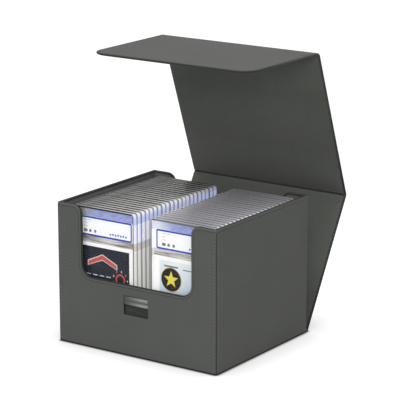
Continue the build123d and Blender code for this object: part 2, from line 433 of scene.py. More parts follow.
def make_microfibre(name, dark, light):
    """Brushed nap. Inside the top of the lid it has painted light and shade: lighter at the foot, darker
    above and at the sides.
    """
    look = Look(name, 0.9, Sheen_Weight=0.1, Sheen_Roughness=0.4, Specular_IOR_Level=0.2)
    nap = look.clouds(size=0.35, detail=4.0, roughness=0.7)
    tone = look.mix(look.clouds(size=9, detail=3.0, roughness=0.6), dark, light)
    crease_z, front_z = pivots["crease_upper_fold"].z, pivots["front_upper_fold"].z
    rise = look.along("Z", crease_z - painted_light_below_crease, front_z)
    painted_shading = look.ramp(rise, *((place, (share, share, share, 1)) for place, share in painted_light_shares))
    side = look.ranged(look.maths("ABSOLUTE", look.axis("X")), painted_edge_shade_from * MM, lid_half * MM,
                       0.0, painted_edge_shade)
    side = look.times(look.maths("GREATER_THAN", look.axis("Z"), crease_z * MM), side)
    tone = look.mix(look.times(painted_shading, look.maths("SUBTRACT", 1.0, side)), 0, tone)
    tone = look.mix(look.ranged(nap, 0.35, 0.7, 0.0, 0.3), tone, nap_shadow)
    return look.done(tone, look.bump(nap, strength=0.4, distance=0.1))


def make_thread():
    look = Look("thread_finish", 0.6)
    inputs = {"Vector": look.place, "Scale": 1 / (twist_size * MM), "Distortion": 1.0}
    twist = look.add("ShaderNodeTexWave", inputs, bands_direction="DIAGONAL").outputs["Fac"]
    return look.done(look.mix(twist, (92, 94, 91), (112, 114, 111)),
                     look.bump(twist, strength=0.4, distance=0.1))


def make_steel():
    """Brushed steel with a painted reflection: dim at the left and brighter at the right, with a darker
    line along its middle.
    """
    look = Look("plate_steel_finish", 0.35, Metallic=1.0)
    brushed = look.streaks(scale=(60, 900, 2600), detail=4.0, roughness=0.7)
    low, high = box_mm("strike_plate")
    outer = look.ranged(look.off_middle("Z", low.z, high.z), 0.3 * MM, 2.4 * MM)
    dim = look.mix(brushed, (66, 68, 66), (82, 84, 82))
    bright = look.mix(outer, look.mix(brushed, (66, 68, 66), (96, 98, 96)),
                      look.mix(brushed, (110, 112, 110), (148, 150, 147)))
    return look.done(look.mix(look.along("X", -14, 6), dim, bright),
                     look.bump(brushed, strength=0.15, distance=0.05),
                     look.ranged(brushed, 0.3, 0.7, 0.28, 0.44))


def make_cup_plastic():
    """Dark moulded plastic, near black in the shadow under the plate."""
    look = Look("cup_plastic_finish", 0.6, Specular_IOR_Level=0.2)
    grain = look.streaks(scale=(60, 400, 1400), detail=3.0, roughness=0.5)
    plate_low = box_mm("strike_plate")[0].z
    tone = look.mix(look.ranged(grain, 0.3, 0.7), (32, 34, 32), (58, 60, 57))
    tone = look.mix(look.along("Z", plate_low - 2.2, plate_low - 0.8), tone, (8, 9, 8))
    return look.done(tone, look.bump(grain, strength=0.3, distance=0.05))


def make_grained(name, roughness, size, detail, dark, light, strength, distance):
    """A cloudy rough surface, such as greyboard or foam."""
    look = Look(name, roughness)
    grain = look.clouds(size, detail, 0.7)
    return look.done(look.mix(grain, dark, light), look.bump(grain, strength, distance))


# Colours of a slab in a row, from the card up to the header: painted lit where light comes through and
# painted shaded where it doesn't, on its broad face, and the dark and bright of its painted glints
painted_lit_zones = ((232, 232, 228), (206, 204, 198), (250, 251, 255), (206, 212, 244))
painted_shaded_zones = ((132, 129, 122), (124, 121, 116), (150, 158, 208), (116, 124, 180))
face_zones = ((226, 226, 223), (176, 174, 170), (232, 234, 238), (138, 148, 204))
glint_tones = ((26, 28, 36), (252, 252, 255))

# Tones of the tops of each row, in painted light: a bright highlight, dim and dull shade and dark gaps
# between the slabs; and of the cards on the broad sides of its slabs
row_tones = {
    "left": {"bright": (240, 239, 234), "dim": 50, "dull": (80, 82, 77), "gap": 24,
             "card": ((128, 158, 182), (206, 222, 230))},
    "right": {"bright": (196, 196, 203), "dim": (170, 170, 178), "dull": (154, 154, 160), "gap": 104,
              "card": ((24, 30, 40), (62, 76, 98))}}
zone_blend = 0.547
header_overlap = 0.8
face_margin = 1.3
shoulder_height = 6.0
shoulder_blend = 2.5


def slab_zones(look, card_zone, middle_zone, label_zone, header_zone):
    """The colours of a slab from the card up to its header."""
    shade = card_zone
    for start, zone in ((frame_top, middle_zone), (label_low, label_zone),
                        (label_high - header_overlap, header_zone)):
        edge = slab_bottom + start
        shade = look.mix(look.along("Z", edge, edge + zone_blend), shade, zone)
    return shade


def slab_phase(look):
    """Place across one slab and the gap behind it, from 0 to 1."""
    from_first = look.maths("SUBTRACT", look.axis("Y"), slab_low.y * MM)
    return look.maths("FRACT", look.maths("DIVIDE", from_first, slab_pitch * MM))


def fade_back(look, share, front, back):
    """A colour that turns partly into another over the back half of the row."""
    return look.mix(look.along("Y", 0.0, -slab_low.y, 0.0, share), front, back)


def make_slab_top(look, side, phase, flow):
    """Top of a row, in painted light and shade: a bright and a dim stripe on each slab, duller towards the
    left but less on the first slabs, darker towards the back, glints at the ends.
    """
    tones = row_tones[side]
    bright, dim, dull, gap = (tones[key] for key in ("bright", "dim", "dull", "gap"))
    stripe = look.ramp(phase, (0.0, gap), (0.1, gap), (0.15, bright), (0.42, bright), (0.5, dim),
                       (0.88, dim), (0.95, gap))
    low, high = slab_boxes[side]
    across = look.along("X", low.x, high.x)
    painted_dullness = look.times(look.ranged(across, 0.1, 0.6, 0.9, 0.0), look.ranged(flow, 0.3, 0.7, 0.6, 1.1))
    front = look.along("Y", low.y, low.y + 4 * slab_pitch, 0.3, 1.0)
    top = look.mix(look.times(painted_dullness, front), stripe, dull)
    if side == "left":
        # Painted shade at the left end of the left row
        top = look.mix(look.ranged(across, 0.14, 0.36, 0.95, 0.0), top, 36)
        top = fade_back(look, 0.65, top, 40)
    else:
        top = fade_back(look, 0.3, top, 90)
    # Painted glints at the ends of the slabs
    glint = look.ramp(phase, (0.0, 30), (0.08, 50), (0.16, 255), (0.48, 255), (0.56, 60), (0.9, 40))
    glint = fade_back(look, 0.75, glint, dull)
    top = look.mix(look.ranged(across, 0.945, 0.965), top, glint)
    if side == "right":
        top = look.mix(look.ranged(across, 0.05, 0.07, 1.0, 0.0), top, glint)
    return top


def slab_face(look, side):
    """Broad side of a slab in a row: a label over a framed card. Gives where it is and its colour."""
    low, high = box_mm(side + "_front_slab_card")
    across = look.off_middle("X", low.x, high.x)
    height = look.off_middle("Z", low.z, high.z)
    on_card = look.times(look.maths("LESS_THAN", across, (high.x - low.x) / 2 * MM),
                         look.maths("LESS_THAN", height, (high.z - low.z) / 2 * MM))
    card = look.mix(look.clouds(size=14, detail=3.0), *row_tones[side]["card"])
    tone = look.mix(on_card, slab_zones(look, *face_zones), card)
    under_top = look.maths("LESS_THAN", look.axis("Z"), (slab_top - face_margin) * MM)
    inside = look.times(under_top, look.maths("LESS_THAN", across, (slab_width / 2 - face_margin) * MM))
    return look.times(look.ranged(look.facing("Y"), 0.75, 0.95), inside), tone


def make_slab_shell(side):
    """Clear plastic as it looks in a row, in painted light: bright edges and glints, dark gaps of painted
    shade, white and lavender ends in lit and shaded bands that glow a little.
    """
    look = Look(side + "_clear_plastic_finish", 0.25, IOR=1.5, Specular_IOR_Level=0.16,
                Emission_Strength=0.24)
    phase = slab_phase(look)
    flow = look.streaks(scale=(40, 220, 40), detail=2.0, roughness=0.5)
    painted_light_bands = look.ramp(phase, (0.0, 0), (0.08, 255), (0.58, 255), (0.66, 60), (0.78, 190), (0.93, 0))
    glint = fade_back(look, 0.85, look.mix(painted_light_bands, *glint_tones), 80)
    shoulder = look.along("Z", slab_top - shoulder_height, slab_top - shoulder_height + shoulder_blend,
                          0.0, 0.75)
    ends = look.mix(painted_light_bands, slab_zones(look, *painted_shaded_zones), slab_zones(look, *painted_lit_zones))
    ends = look.mix(shoulder, ends, glint)
    if side == "left":
        right_end = look.along("X", slab_low.x + 6, slab_low.x + 10)
        glint = look.mix(right_end, row_tones[side]["dull"], glint)
    corner = look.facing("X")
    top = make_slab_top(look, side, phase, flow)
    shade = look.mix(look.ranged(corner, 0.04, 0.16), top, glint)
    shade = look.mix(look.ranged(corner, 0.75, 0.95), shade, ends)
    on_face, face_tone = slab_face(look, side)
    shade = look.mix(on_face, shade, face_tone)
    # The ends glow as painted light
    glow = look.mix(look.ranged(corner, 0.5, 0.8), 0, shade)
    return look.done(shade, look.bump(flow, strength=0.1, distance=0.1), glow=glow)


def make_slab_back(side):
    """What shows in the first slab round its label and card. It glows a little, as painted light."""
    look = Look(side + "_slab_back_finish", 0.35, Specular_IOR_Level=0.2, Emission_Strength=0.1)
    flow = look.streaks(scale=(30, 200, 500), detail=3.0, roughness=0.6)
    frame_end = slab_bottom + frame_top
    fade = look.along("Z", frame_end, frame_end + (label_low - frame_top) * 0.15)
    streak = look.mix(look.ranged(flow, 0.35, 0.65), (112, 108, 102), (222, 221, 218))
    middle = look.mix(fade, (240, 240, 238), streak)
    ripple = look.streaks(scale=(160, 300, 900), detail=3.0, roughness=0.6)
    clear = look.mix(look.ranged(ripple, 0.35, 0.65), (136, 146, 202), (170, 179, 221))
    left_x = slab_boxes[side][0].x
    header_left = (172, 172, 160) if side == "left" else (224, 227, 240)
    header = look.mix(look.along("X", left_x + 8, left_x + 28), header_left, clear)
    tone = slab_zones(look, (246, 246, 244), middle, (246, 248, 252), header)
    return look.done(tone, look.bump(flow, strength=0.1, distance=0.1), glow=tone)


def make_lens():
    look = Look("window_finish", 0.08, IOR=1.49, Alpha=0.012)
    haze = look.clouds(size=20)
    return look.done(look.mix(haze, (225, 228, 235), (240, 242, 248)),
                     roughness=look.ranged(haze, 0.3, 0.7, 0.05, 0.12))


def make_paper(name, dark, light, strength=0.0):
    """Paper or ink. A white sheet glows a little, as painted light."""
    look = Look(name, 0.45, Specular_IOR_Level=0.12, Emission_Strength=strength)
    fibre = look.clouds(size=0.9, detail=3.0)
    tone = look.mix(fibre, dark, light)
    return look.done(tone, look.bump(fibre, strength=0.1, distance=0.03), glow=tone)


def make_card(name, low, high):
    """Print that runs from one colour to another up the card, with a cloudy edge."""
    look = Look(name, 0.3, Specular_IOR_Level=0.12)
    height = look.times(look.along("Z", slab_bottom + 5, slab_bottom + 94), 0.7)
    cloud = look.times(look.clouds(size=11, detail=3.0), 0.3)
    return look.done(look.mix(look.maths("ADD", height, cloud), low, high))


leather = make_leather("leather_finish", (76, 78, 75), (86, 88, 85))
# The box's leather, with painted contact shade in a band at its foot
case_leather = make_leather("case_leather_finish", (76, 78, 75), (86, 88, 85), foot=2.1)
# Painted shade on the round edges of the lid and flap, the box's vertical corners and the stitch holes
edge_shade_leather = make_leather("edge_shade_leather_finish", (28, 30, 27), (38, 40, 37))
# Painted shade on the crest and inner lip of the box's rim and in the groove under its shoulder
crest_shade_leather = make_leather("crest_shade_leather_finish", (42, 44, 41), (52, 54, 51))
# Painted highlight on the rim's shoulder and on its turn above the windows
shoulder_highlight_leather = make_leather("shoulder_highlight_leather_finish", (78, 80, 77), (89, 91, 88))
# Painted shade in the groove along the flap's edge
groove_shade_leather = make_leather("groove_shade_leather_finish", (54, 56, 53), (62, 64, 61))
# Painted shade on the rim's turn round the windows
window_shade_leather = make_leather("window_shade_leather_finish", (14, 16, 14), (24, 26, 23))
microfibre = make_microfibre("microfibre_finish", (116, 119, 113), (128, 131, 125))
# Painted shade in the lining at the creases and along its round edges
crease_shade_fibre = make_microfibre("crease_shade_finish", (54, 56, 53), (64, 66, 63))
thread = make_thread()
steel = make_steel()
cup_plastic = make_cup_plastic()
board = make_grained("greyboard_finish", 0.9, 1.5, 5.0, (150, 144, 134), (184, 178, 166), 0.3, 0.08)
foam = make_grained("foam_finish", 0.95, 0.8, 4.0, 28, 52, 0.5, 0.15)
slab_shells = {side: make_slab_shell(side) for side in SIDES}
slab_backs = {side: make_slab_back(side) for side in SIDES}
lens = make_lens()
# Label and card frame glow a little as painted light
label_paper = make_paper("label_paper_finish", (248, 250, 253), (253, 254, 255), 0.12)
frame_white = make_paper("frame_plastic_finish", (240, 240, 238), (250, 250, 249), 0.16)
navy_card = make_card("navy_card_finish", (34, 44, 58), (20, 26, 34))
pale_card = make_card("pale_card_finish", (158, 192, 216), (250, 255, 255))
inks = {name: make_paper(name + "_print_finish", dark, light) for name, dark, light in (
    ("blue", (36, 58, 178), (50, 74, 196)), ("grey", (118, 120, 112), (140, 142, 134)),
    ("faint", (208, 212, 218), (222, 225, 230)), ("pale_blue", (104, 124, 210), (126, 144, 220)),
    ("black", (12, 14, 16), (24, 26, 28)), ("red", (196, 74, 66), (222, 98, 86)),
    ("yellow", (232, 214, 62), (246, 230, 92)), ("gold", (188, 158, 84), (206, 178, 104)),
    ("amber", (170, 110, 72), (198, 138, 96)))}


def finish_cad_nodes():
    boards = ("base", "left_wall", "right_wall", "front_wall", "back_wall", "rear_panel", "top_panel",
              "flap")
    labels = [side + part for side in SIDES for part in ("_front_slab_label", "_row_labels")]
    frames = [side + part for side in SIDES for part in ("_front_slab_card_frame", "_row_card_frames")]
    for material, slot_name, nodes in (
            (microfibre, "microfibre", ("wall_lining", "floor_lining")),
            (board, "greyboard", [name + "_board" for name in boards]),
            (foam, "foam", ("floor_pad",)),
            (cup_plastic, "dark_plastic", ("catch_cup",)),
            (steel, "plate_steel", ("strike_plate",)),
            (steel, "magnet", ("flap_magnets",)),
            (label_paper, "label_paper", labels),
            (frame_white, "frame_plastic", frames),
            (navy_card, "card_stock", ("left_front_slab_card", "right_row_cards")),
            (pale_card, "card_stock", ("right_front_slab_card", "left_row_cards"))):
        for node in nodes:
            piece = frame["nodes"][node]
            piece.data.materials.clear()
            piece.data.materials.append(material)


# Box cover: one leather sheet with a rolled rim, rounded corners and the sunk opening of the catch

def rim_half():
    """The rim of one wall from the end of the sill to the top of the ear, as (x, z, up_x, up_z)."""
    low = arc(window_half - window_corner_r, window_sill + window_corner_r, window_corner_r, 270, 360,
              window_arc_steps)
    ear = arc(window_half + window_ear_r, rim_z - window_ear_r, window_ear_r, 180, 90, window_arc_steps)
    return [(x, z, -ux, -uz) for x, z, ux, uz in low] + ear


def rim_outline():
    half = rim_half()
    return [(-x, z, -ux, uz) for x, z, ux, uz in reversed(half)] + [(0, window_sill, 0, 1)] + half


def rim_profile():
    """(depth from the outer face, drop below the rim) over the rolled edge, from outside to inside.

    It has a shoulder above a groove, a turn, and a crest with the inner lip, darkened as painted shade.
    """
    inner = wall_t
    groove = [(0, rim_roll), (rim_groove_depth, rim_roll - 0.3), (0, rim_roll - 0.6)]
    shoulder = [(-0.06, 2.8), (0.02, 2.2), (0.16, 1.6), (0.32, 1.15)]
    turn = [(0.5, 0.8), (0.76, 0.48)]
    crest = [(1.12, 0.2), (1.55, 0.04), (inner / 2, -0.03), (inner - 1.1, 0.03), (inner - 0.4, 0.3)]
    lip = [(inner + 0.02, 0.9), (inner + 0.1, 1.8), (inner + 0.02, 2.6)]
    return groove, shoulder, turn, crest + lip


def wall_rim_point(sample, sign, depth, drop):
    x, z, up_x, up_z = sample
    return (-sign * x + sign * up_x * drop, sign * (case_half_y - depth), z - up_z * drop)


def corner_rim_point(corner, normal, depth, drop):
    """Point of the rim on a vertical corner. Deeper than the corner's radius, the corner is sharp."""
    left = case_corner_r - depth
    way = normal if left >= 0 else corner
    x = corner[0] * (case_half_x - case_corner_r) + left * way[0]
    y = corner[1] * (case_half_y - case_corner_r) + left * way[1]
    return (x, y, rim_z - drop)


def corner_arcs():
    """The four vertical corners in the order front right, back right, back left, front left."""
    starts = {(1, -1): -90, (1, 1): 0, (-1, 1): 90, (-1, -1): 180}
    return [(corner, arc_points(0, 0, 1, start, start + 90, case_corner_steps))
            for corner, start in starts.items()]


def rim_loop(depth, drop):
    """One closed line round the whole rim at a depth in the wall and a drop below the rim."""
    corners = corner_arcs()
    loop = []
    for sign, wall_corners in ((-1, corners[:2]), (1, corners[2:])):
        loop += [wall_rim_point(sample, sign, depth, drop) for sample in rim_outline()]
        loop += [corner_rim_point(corner, normal, depth, drop)
                 for corner, normals in wall_corners for normal in normals]
    return loop


def turn_indices():
    """The leather of the rim's turn: the darkest, painted shade, round the windows, and the painted
    highlight above.
    """
    low = [point[2] < rim_z - window_ear_r / 2 for point in rim_loop(0, 0)]
    return [3 if a and b else 2 for a, b in zip(low, low[1:] + low[:1])]


def foot_loop(inset, z):
    loop = [(0, inset - case_half_y, z)]
    radius = max(case_corner_r - inset, least_foot_r)
    shift = case_corner_r - radius - inset
    for (sx, sy), normals in corner_arcs():
        if (sx, sy) == (-1, 1):
            loop.append((0, case_half_y - inset, z))
        cx = sx * (case_half_x - case_corner_r + shift)
        cy = sy * (case_half_y - case_corner_r + shift)
        loop += [(cx + radius * nx, cy + radius * ny, z) for nx, ny in normals]
    return loop


def catch_loop(margin, depth):
    """Line round the opening of the catch, with a point on the middle plane at its foot and its top."""
    low, high = box_mm("catch_cup")
    z_low = low.z + catch_wall - margin
    z_high = high.z - catch_wall + margin
    flat = rounded_rectangle(high.x - catch_wall + margin, z_low, z_high, catch_corner_r + margin)
    middle = len(flat) // 2
    flat = [(0, z_low)] + flat[:middle] + [(0, z_high)] + flat[middle:]
    return [(x, depth - case_half_y, z) for x, z in flat]


def wall_face(sign, side, top):
    """One half of the flat front or back face, with half of the catch opening cut from the front."""
    rim = [wall_rim_point(sample, -1, 0, rim_roll) for sample in [(0, window_sill, 0, 1)] + rim_half()]
    straight = case_half_x - case_corner_r
    loop = rim + [(straight, 0, top), (straight, 0, foot_top), (0, 0, foot_top)]
    if sign < 0:
        loop += [p for p in catch_loop(*catch_profile[0]) if p[0] >= 0]
    return [(side * x, sign * case_half_y, z) for x, y, z in loop]


def make_case_cover():
    patch = Patch()
    groove, shoulder, turn, crest = rim_profile()
    # The groove and the crest take painted shade and the shoulder a painted highlight. The turn takes
    # painted shade round the windows and a painted highlight above them
    for profile, index in ((groove, 4), (groove[-1:] + shoulder, 2), (shoulder[-1:] + turn, turn_indices()),
                           (turn[-1:] + crest, 4)):
        patch.loft([rim_loop(depth, drop) for depth, drop in profile], index=index)
    rings = [foot_loop(inset, z) for inset, z in foot_profile]
    patch.loft(rings)
    patch.face(rings[-1])
    top = rim_z - rim_roll
    for sign in (-1, 1):
        for side in (-1, 1):
            patch.filled([wall_face(sign, side, top)])
    for sign in (-1, 1):
        x = sign * case_half_x
        y = case_half_y - case_corner_r
        patch.face([(x, -y, foot_top), (x, y, foot_top), (x, y, top), (x, -y, top)])
    for corner, normals in corner_arcs():
        low = [corner_rim_point(corner, normal, 0, rim_z - foot_top) for normal in normals]
        high = [corner_rim_point(corner, normal, 0, rim_roll) for normal in normals]
        # The middle of each round vertical corner takes painted shade
        patch.strip(low, high, closed=False, index=[0, 1, 1, 0])
    patch.loft([catch_loop(margin, depth) for margin, depth in catch_profile])
    cover = patch.make("case_cover", case_leather, edge_shade_leather, shoulder_highlight_leather, window_shade_leather,
                       crest_shade_leather)
    thickness = cover.modifiers.new("sheet", "SOLIDIFY")
    thickness.thickness = cover_t * MM
    thickness.offset = -1
    settle(cover, "leatherette", "case", "wall_skin", "rim_binding", "base_skin")


# Stitches

def add_stitch(patch, centre, along, out, length, thickness, index):
    """A small spindle that lies half in the leather: a thread loop, or the pressed hole that it enters,
    dark as painted shade.
    """
    side = along.cross(out)
    rings = []
    for share, radius in spindle:
        middle = centre + along * (share * length / 2) - out * ((share * share) * stitch_r)
        ring = [middle + (side * thickness * math.cos(a) + out * stitch_r * math.sin(a)) * radius
                for a in (math.tau * k / stitch_sides for k in range(stitch_sides))]
        rings.append(ring)
    patch.loft(rings, index=index)
    patch.cap(rings, index, index)


def make_stitches():
    """Two rows on each side of both front corners."""
    patch = Patch()
    up = Vector((0, 0, 1))
    rows = []
    for sign in (-1, 1):
        rows += [((sign * (case_half_x - inset), -case_half_y, 0), (0, -1, 0))
                 for inset in front_stitch_insets]
        rows += [((sign * case_half_x, inset - case_half_y, 0), (sign, 0, 0))
                 for inset in side_stitch_insets]
    count = int((rim_z - stitch_low - stitch_rim_gap) / stitch_pitch)
    for foot, out in rows:
        foot, out = Vector(foot), Vector(out)
        for i in range(count):
            thread_at = foot + up * (stitch_low + i * stitch_pitch) + out * (stitch_r * 0.3)
            hole_at = thread_at + up * (stitch_pitch / 2) - out * (stitch_r * 0.9)
            add_stitch(patch, thread_at, up, out, stitch_length, stitch_r, 0)
            # The spindle at each hole is dark with painted shade
            add_stitch(patch, hole_at, up, out, hole_length, hole_half, 1)
    settle(patch.make("case_stitches", thread, edge_shade_leather), "leatherette", "case")


# Lid: every piece is lofted along the lid from sections across it

def turned(direction, angle):
    c, s = math.cos(angle), math.sin(angle)
    return Vector((0, c * direction.y - s * direction.z, s * direction.y + c * direction.z))


def inward(direction):
    return turned(direction, math.pi / 2)


def groove_profile(depth):
    """(distance from the free edge, depth) over the groove that is pressed along the lid's edges."""
    return [(edge_groove_at + 2 * edge_groove_half, 0), (edge_groove_at + edge_groove_half, depth * 0.4),
            (edge_groove_at, depth), (edge_groove_at - edge_groove_half, depth * 0.3)]


def station(origin, normal, low, high, half, radius, groove=0.0):
    """Section across the lid, going round from the outer face, with round edges and two grooves."""
    right = [(half - inset, low + depth) for inset, depth in groove_profile(groove)]
    right += arc_points(half - radius, low + radius, radius, -90, 0, edge_steps)
    right += arc_points(half - radius, high - radius, radius, 0, 90, edge_steps)
    section = right + [(-x, depth) for x, depth in reversed(right)]
    return [Vector((x, 0, 0)) + origin + normal * depth for x, depth in section]


def section_indices():
    """The material of each face round a section: 1, which paints shade, on the two round edges and 0
    elsewhere.
    """
    groove = len(groove_profile(0))
    edge = 2 * edge_steps + 1
    return [0] * groove + [1] * edge + [0] + [1] * edge + [0] * (groove + 1)


def lofted(name, stations, materials, dark_steps=()):
    """Piece along the lid. Its round edges and its dark steps take the second material, which paints shade
    on them.
    """
    patch = Patch()
    for i, (low, high) in enumerate(zip(stations, stations[1:])):
        patch.strip(low, high, index=1 if i in dark_steps else section_indices())
    patch.cap(stations)
    return patch.make(name, *materials)


def leather_station(origin, normal, depth):
    radius = min(leather_edge_r, depth * leather_edge_share)
    return station(origin, normal, 0, depth, lid_half, radius, edge_groove_depth * depth / leather_t)


def lining_station(origin, normal, depth):
    return station(origin, normal, depth - lining_sink, depth - lining_sink + lining_t,
                   lid_half - lining_margin, lining_edge_r)


# The two layers of the lid: how a section is made, its materials and its slot
layers = ((leather_station, (leather, edge_shade_leather), "leatherette"),
          (lining_station, (microfibre, crease_shade_fibre), "microfibre"))


def make_panel(name, low, high):
    """Rigid panel between two pivots: the wrapped leather and the lining sheet inside it."""
    normal = inward((high - low).normalized())
    for (maker, materials, slot_name), part, node in zip(layers, ("_cover", "_inside"),
                                                         ("_skin", "_lining")):
        piece = lofted(name + part, [maker(p, normal, leather_t) for p in (low, high)], materials)
        settle(piece, slot_name, name, name + node)


def strip_depth(s):
    """Leather depth at a distance from the pivot: the panel's at the pivot, thin over the soft strip."""
    return leather_t + (soft_leather_t - leather_t) * smoothstep(abs(s) / fold_slope)


def base_depth(s):
    """Leather depth over the hinge on the floor, where the panel's foot curves up round its board."""
    if s < 0:
        return strip_depth(s)
    return leather_t + base_hump * math.sin(math.pi * s / fold_reach)


def make_fold(name, before, after, reach, nodes, depth_at=strip_depth):
    """Soft strip beside a pivot, in leather outside and lining inside, lofted in its bent shape round the
    pivot.
    """
    pivot = pivots[name]
    bend = (0, fold_reach) if reach[1] > 0 else (-fold_reach, 0)
    angle = before.angle(after)
    step = (reach[1] - reach[0]) / fold_steps
    # Lining steps further from the pivot than crease_from take painted shade
    crease = [i for i in range(fold_steps) if nodes[1] and abs(reach[0] + (i + 0.5) * step) > crease_from]
    for (maker, materials, slot_name), part, node, dark_steps in zip(layers, ("_leather", "_lining"),
                                                                     nodes, ((), crease)):
        stations = []
        for i in range(fold_steps + 1):
            s = reach[0] + (reach[1] - reach[0]) * i / fold_steps
            turn = smoothstep((s - bend[0]) / (bend[1] - bend[0])) * angle
            origin = pivot + turned(before * s, turn)
            stations.append(maker(origin, turned(inward(before), turn), depth_at(s)))
        piece = lofted(name + part, stations, materials, dark_steps)
        if node:
            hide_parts(node)
        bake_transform(piece)


def flap_loop(inset, depth):
    """Outline of the flap at one inset: straight at the fold, round at the two free corners."""
    start = pivots["front_lower_fold"]
    half = lid_half - inset
    far = start.y - box_mm("flap_skin")[0].y - inset
    radius = flap_corner_r - inset
    plan = [(half, 0)]
    plan += arc_points(half - radius, far - radius, radius, 0, 90, flap_corner_steps)
    plan += arc_points(radius - half, far - radius, radius, 90, 180, flap_corner_steps)
    plan += [(-half, 0)]
    return [start + Vector((x, -s, -depth)) for x, s in plan]


def make_flap_layer(name, low, high, radius, margin, groove, materials, slot_name, node):
    profile = groove + turn_out(low, radius, edge_steps) + turn_in(high, radius, edge_steps)
    loops = [flap_loop(margin + inset, depth) for inset, depth in profile]
    patch = Patch()
    # The pressed groove takes painted shade
    patch.loft(loops[:len(groove) + 1], index=2)
    # The flap's round edges take painted shade
    patch.loft(loops[len(groove):], index=1)
    patch.cap(loops)
    settle(patch.make(name, *materials), slot_name, "flap", node)


def make_lid():
    """Two panels, five folds and the flap. Each fold is lofted with a bend between the pieces on either
    side of it.
    """
    folds = ("base_hinge", "crease_lower_fold", "crease_upper_fold", "front_upper_fold", "front_lower_fold")
    places = [pivots[fold] for fold in folds]
    ways = [Vector((0, 1, 0))]
    ways += [(high - low).normalized() for low, high in zip(places, places[1:])]
    ways.append(Vector((0, -1, 0)))
    root = places[0].y - case_half_y
    middle = (places[2] - places[1]).length / 2

    make_panel("rear_panel", places[0] + ways[1] * fold_reach, places[1])
    make_panel("top_panel", places[2], places[3])
    make_fold(folds[0], ways[0], ways[1], (-root, fold_reach), ("base_hinge_strip", None),
              base_depth)
    for i, reach in enumerate(((0, middle), (-middle, 0), (0, middle), (-middle, 0)), start=1):
        strip = "crease_strip" if i < 3 else "front_strip"
        make_fold(folds[i], ways[i], ways[i + 1], reach,
                  (strip + "_skin", strip + "_lining"))
    lining_low = leather_t - lining_sink
    make_flap_layer("flap_cover", 0, leather_t, leather_edge_r, 0, groove_profile(edge_groove_depth),
                    (leather, edge_shade_leather, groove_shade_leather), "leatherette", "flap_skin")
    make_flap_layer("flap_inside", lining_low, lining_low + lining_t, lining_edge_r, lining_margin, [],
                    (microfibre, microfibre), "microfibre", "flap_lining")


# Slabs. A profile is (inset, depth) over the edge of a shell: round at its face, a thin groove at the seam.

front_profile = turn_out(0, slab_edge_r, slab_edge_steps)
front_profile += [(0, slab_seam - slab_groove), (slab_groove, slab_seam)]
back_profile = [(slab_groove, slab_seam), (0, slab_seam + slab_groove)]
back_profile += turn_in(slab_t, slab_edge_r, slab_edge_steps)


def slab_loops(origin, profile):
    """Rounded outlines of a slab, one for each point of the profile."""
    loops = []
    for inset, depth in profile:
        outline = rounded_rectangle(slab_width / 2 - inset, inset, slab_height - inset,
                                    max(slab_corner_r - inset, least_corner_r), slab_corner_steps)
        loops.append([(origin[0] + x, origin[1] + depth, origin[2] + z) for x, z in outline])
    return loops


def slab_origin(side):
    """Middle of the lower front edge of a row's first slab."""
    low, high = slab_boxes[side]
    return ((low.x + high.x) / 2, low.y, low.z)


def make_row(side, rng):
    """The slabs behind the first one, each standing a little differently."""
    patch = Patch()
    x, y, z = slab_origin(side)
    for i in range(slabs_behind):
        sway, rise = rng.uniform(-row_sway, row_sway), rng.uniform(0, row_rise)
        origin = (x + sway, row_low.y + i * slab_pitch, z + rise)
        loops = slab_loops(origin, front_profile + back_profile[1:])
        patch.loft(loops)
        patch.cap(loops)
    settle(patch.make(side + "_row_slabs", slab_shells[side]), "clear_plastic", side + "_row",
           side + "_row_front_shells", side + "_row_back_shells")


def make_first_slab(side):
    """The first slab: a hollow back shell, a rim round its front and a clear pane in the rim."""
    body = side + "_front_slab"
    origin = slab_origin(side)
    back = Patch()
    floor = [(slab_rim_width, slab_seam + slab_floor_t), (slab_rim_width, slab_seam)]
    loops = slab_loops(origin, floor + back_profile)
    back.loft(loops)
    back.cap(loops, first=1)
    piece = back.make(body + "_back", slab_shells[side], slab_backs[side])
    settle(piece, "clear_plastic", body, body + "_back_shell")

    rim = Patch()
    bevel_inset, bevel_depth = slab_rim_bevel
    inner = [(slab_rim_width, slab_seam), (slab_rim_width, bevel_depth), (slab_rim_width - bevel_inset, 0)]
    loops = slab_loops(origin, front_profile + inner)
    rim.loft(loops + [loops[0]])
    settle(rim.make(body + "_rim", slab_shells[side]), "clear_plastic", body, body + "_front_shell")

    pane = Patch()
    loops = slab_loops(origin, [(slab_rim_width, depth) for depth in pane_depths])
    pane.loft(loops)
    pane.cap(loops)
    settle(pane.make(body + "_window", lens), "clear_plastic", body, body + "_front_shell")
    return origin


# Print on the first labels and cards: thin raised shapes, placed in millimetres from the slab's foot

print_t = 0.06
disc_steps = 28
border = 1.5
border_foot = 1.9
border_top = 1.8


class Print(Patch):
    """Flat shapes on the face of a card or label, given as (x, z) in the slab."""

    def __init__(self, origin):
        super().__init__()
        self.origin = origin

    def add(self, outline, index, layer=0, hole=None):
        x0, y0, z0 = self.origin
        back = y0 + slab_seam - layer * print_t
        loops = [outline] + ([hole] if hole else [])
        fronts, backs = ([[(x0 + x, y, z0 + z) for x, z in loop] for loop in loops]
                         for y in (back - print_t, back))
        self.filled(fronts, index)
        for front_loop, back_loop in zip(fronts, backs):
            self.strip(front_loop, back_loop, smooth=False, index=index)
        self.filled(backs, index)

    def finished(self, name, side, slot_name, *colours):
        settle(self.make(name, *(inks[colour] for colour in colours)), slot_name, side + "_front_slab")


def rectangle(x_low, x_high, z_low, z_high, radius=0.0):
    if radius <= 0:
        return [(x_low, z_low), (x_high, z_low), (x_high, z_high), (x_low, z_high)]
    middle = (x_low + x_high) / 2
    return [(middle + x, z) for x, z in rounded_rectangle((x_high - x_low) / 2, z_low, z_high, radius)]


